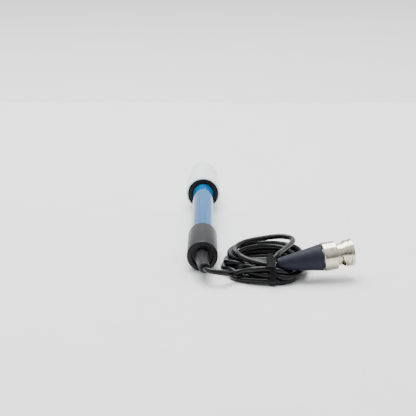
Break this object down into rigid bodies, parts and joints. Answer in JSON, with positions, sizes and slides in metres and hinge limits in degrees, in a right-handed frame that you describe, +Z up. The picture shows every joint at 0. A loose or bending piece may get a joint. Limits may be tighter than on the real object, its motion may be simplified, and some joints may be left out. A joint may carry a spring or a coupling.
{
  "type": "ph electrode",
  "caption": "Laboratory pH electrode lying in its storage bottle: blue tube, black cap, tied coil of coax lead and a bayonet coax plug.",
  "frame": {"origin": "on the bench under the middle of the electrode, from the strain relief tip to the bottle foot; the lead, its coil and the plug are not counted", "axes": "+Y along the electrode from the lead end to the storage bottle, +Z up, +X towards the coil and the plug"},
  "size_m": [0.0865, 0.1794, 0.0202],
  "materials": {
    "blue_tube": "glossy see-through blue",
    "black_cap": "satin black moulding",
    "black_rubber": "satin black rubber",
    "lead_jacket": "satin black jacket",
    "clear_glass": "clear thin glass",
    "silver_wire": "silver wire",
    "dark_seal": "dark cast seal",
    "white_ceramic": "porous white ceramic",
    "white_insulation": "white insulation",
    "milky_bottle": "milky soft plastic",
    "tie_plastic": "black tie",
    "navy_boot": "satin dark navy",
    "nickel": "nickel plate, warm",
    "gold_pin": "gold plate",
    "red_silicone": "red silicone"
  },
  "bodies": {
    "electrode": {"body_tube": "blue_tube", "top_cap": "black_cap", "cap_plug": "black_cap", "strain_relief": "black_rubber", "lead_inner_end": "lead_jacket", "inner_stem": "clear_glass", "ph_bulb": "clear_glass", "measuring_wire": "silver_wire", "reference_wire": "silver_wire", "end_plug": "dark_seal", "junction": "white_ceramic", "coax_core": "white_insulation", "shrink_sleeve": "black_rubber", "potting": "dark_seal", "lead": "lead_jacket", "lead_coil": "lead_jacket", "lead_tie": "tie_plastic", "bnc_boot": "navy_boot", "lead_plug_end": "lead_jacket", "bnc_ferrule": "nickel", "bnc_insulator": "white_insulation", "bnc_centre_pin": "gold_pin", "bnc_gasket": "red_silicone", "bnc_body": "nickel", "bnc_wave_washer": "nickel"},
    "storage_cap": {"soaker_cap": "milky_bottle", "soaker_gland": "black_rubber"},
    "neck_seal": {"soaker_o_ring": "black_rubber"},
    "storage_bottle": {"soaker_bottle": "milky_bottle"},
    "coupling_carrier": {"bnc_retaining_ring": "nickel", "bnc_thrust_washer": "nickel"},
    "bayonet_coupling": {"bnc_coupling": "nickel"}
  },
  "joints": [
    {"name": "storage_slide", "type": "slide", "parent": "electrode", "child": "storage_cap", "axis": [0, 0.9999, 0.0173], "range_m": [-0.012, 0.04]},
    {"name": "bottle_turn", "type": "hinge", "parent": "storage_cap", "child": "neck_seal", "pos_m": [0, 0.04975, 0.01004], "axis": [0, 0.9999, 0.0173], "range_deg": [0, 720]},
    {"name": "bottle_travel", "type": "slide", "parent": "neck_seal", "child": "storage_bottle", "axis": [0, 0.9999, 0.0173], "range_m": [0, 0.0041]},
    {"name": "coupling_float", "type": "slide", "parent": "electrode", "child": "coupling_carrier", "axis": [0.9762, 0.1898, 0.1045], "range_m": [0, 0.001], "stiffness_N_per_m": 2000, "springref_m": -0.001, "deforming": ["bnc_wave_washer"]},
    {"name": "coupling_turn", "type": "hinge", "parent": "coupling_carrier", "child": "bayonet_coupling", "pos_m": [0.06337, -0.07997, 0.01202], "axis": [0.9762, 0.1898, 0.1045], "continuous": true}
  ],
  "couplings": [
    {"joint": "bottle_travel", "follows": "bottle_turn", "m_per_rad": 0.00031831}
  ]
}
